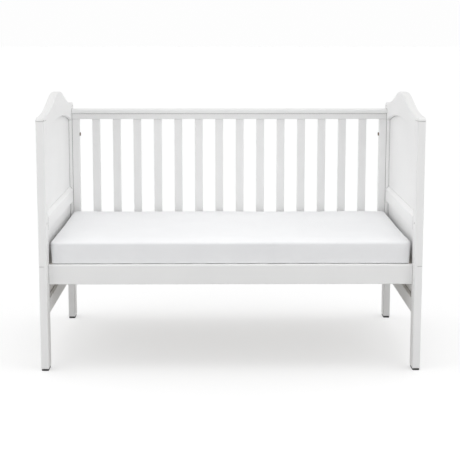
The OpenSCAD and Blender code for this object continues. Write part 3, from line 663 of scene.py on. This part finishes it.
# Strength of the world's light by direction
ENDS_LIGHT, SLANT_LIGHT, REAR_LIGHT, ROUND_LIGHT = 1.72, 1.68, 0.50, 0.08
FLOOR_GATE = 2.6
OVERHEAD_LIGHT, OVERHEAD_FOCUS = 7.0, 36.0
EVEN_LIGHT = 0.10

# Size, place, aim and power of the lamps on the right; those on the left mirror them
LAMPS = {
    "light": ((0.9, 1.3), (1.5, -1.7, 1.0), (0.2, 0, 0.6), 4.9),
    "low_light": ((0.6, 0.8), (0.35, -6.0, 0.6), (0, 0, 0.35), 17.5),
}


def grey(level):
    return (level, level, level, 1)


floor_mesh = bpy.data.meshes.new("floor")
floor_mesh.from_pydata([(-FLOOR_SIDE, FLOOR_FRONT, 0), (FLOOR_SIDE, FLOOR_FRONT, 0),
                        (FLOOR_SIDE, FLOOR_BACK, 0), (-FLOOR_SIDE, FLOOR_BACK, 0)],
                       [], [(0, 1, 2, 3)])
floor = link_mesh("floor", floor_mesh)

floor_paper = bpy.data.materials.new("floor_paper")
stage = Net(floor_paper, "ShaderNodeOutputMaterial")
floor_lit = stage.add("ShaderNodeBsdfDiffuse", Color=grey(FLOOR_LIT))
floor_seen = stage.add("ShaderNodeBsdfDiffuse", Color=grey(FLOOR_SEEN))
floor_glow = stage.add("ShaderNodeEmission", Color=grey(FLOOR_GLOW))
pale = stage.nodes.new("ShaderNodeAddShader")
stage.link(floor_seen.outputs[0], pale.inputs[0])
stage.link(floor_glow.outputs[0], pale.inputs[1])
stage.show(floor_lit.outputs[0], pale.outputs[0])
floor_mesh.materials.append(floor_paper)

world = bpy.data.worlds.new("studio")
bpy.context.scene.world = world
sky = Net(world, "ShaderNodeOutputWorld")
lit = sky.add("ShaderNodeBackground")
seen = sky.add("ShaderNodeBackground", Color=grey(BACKDROP))

# Studio light, most of it from both ends, some from the rear and a small bright patch overhead
toward = sky.split(sky.nodes.new("ShaderNodeTexCoord").outputs["Generated"])
across = toward["X"]
upward = sky.math("MAXIMUM", toward["Z"], 0.0)
behind = sky.math("MAXIMUM", toward["Y"], 0.0)
above_floor = sky.math("MINIMUM", sky.times(upward, FLOOR_GATE), 1.0)
ends = sky.times(sky.times(across, across), ENDS_LIGHT)
slant = sky.times(sky.times(sky.math("ABSOLUTE", across), upward), SLANT_LIGHT)
rear = sky.plus(sky.times(behind, REAR_LIGHT), ROUND_LIGHT)
level = sky.times(sky.plus(sky.plus(ends, slant), rear), above_floor)
overhead = sky.times(sky.math("POWER", upward, OVERHEAD_FOCUS), OVERHEAD_LIGHT)
level = sky.plus(sky.plus(level, overhead), EVEN_LIGHT)
sky.link(level, lit.inputs["Strength"])
sky.show(lit.outputs[0], seen.outputs[0])

bpy.context.scene.view_settings.view_transform = "Standard"


def softbox(name, size, place, aim, power):
    light = bpy.data.lights.new(name, "AREA")
    light.shape = "RECTANGLE"
    light.size, light.size_y = size
    light.energy = power
    o = bpy.data.objects.new(name, light)
    bpy.context.scene.collection.objects.link(o)
    o.location = place
    o.rotation_mode = "QUATERNION"
    o.rotation_quaternion = (Vector(aim) - Vector(place)).to_track_quat("-Z", "Y")
    o.visible_camera = False


for hand, sign in (("left", -1), ("right", 1)):
    for lamp, (size, place, aim, power) in LAMPS.items():
        place, aim = ((v[0] * sign, v[1], v[2]) for v in (place, aim))
        softbox(f"{hand}_{lamp}", size, place, aim, power)


# ---------------------------------------------------------------- camera

# A least-squares fit to points measured on the photograph. The full fit asks for a larger shift,
# which would move the bed out of other views
CAM_PLACE = Vector((-0.03578, -4.32239, 1.33306))
CAM_YAW, CAM_PITCH, CAM_ROLL = 0.00816, 0.12954, 0.00044
CAM_FOCAL_PX = 1046.1
CAM_SHIFT_Y = -0.15
CAM_REACH = 200
IMAGE_PX = 460
SENSOR_MM = 36

cam_data = bpy.data.cameras.new("camera")
cam_data.sensor_width = SENSOR_MM
cam_data.lens = CAM_FOCAL_PX / IMAGE_PX * SENSOR_MM
cam_data.shift_y = CAM_SHIFT_Y
cam_data.clip_end = CAM_REACH
cam = bpy.data.objects.new("camera", cam_data)
bpy.context.scene.collection.objects.link(cam)
bpy.context.scene.camera = cam
sin_yaw, cos_yaw = math.sin(CAM_YAW), math.cos(CAM_YAW)
sin_pitch, cos_pitch = math.sin(CAM_PITCH), math.cos(CAM_PITCH)
ahead = Vector((sin_yaw * cos_pitch, cos_yaw * cos_pitch, -sin_pitch))
side = Vector((cos_yaw, -sin_yaw, 0))
above = side.cross(ahead)
right = side * math.cos(CAM_ROLL) + above * math.sin(CAM_ROLL)
up = above * math.cos(CAM_ROLL) - side * math.sin(CAM_ROLL)
turn = Matrix((right, up, -ahead)).transposed().to_4x4()
cam.matrix_world = Matrix.Translation(CAM_PLACE) @ turn
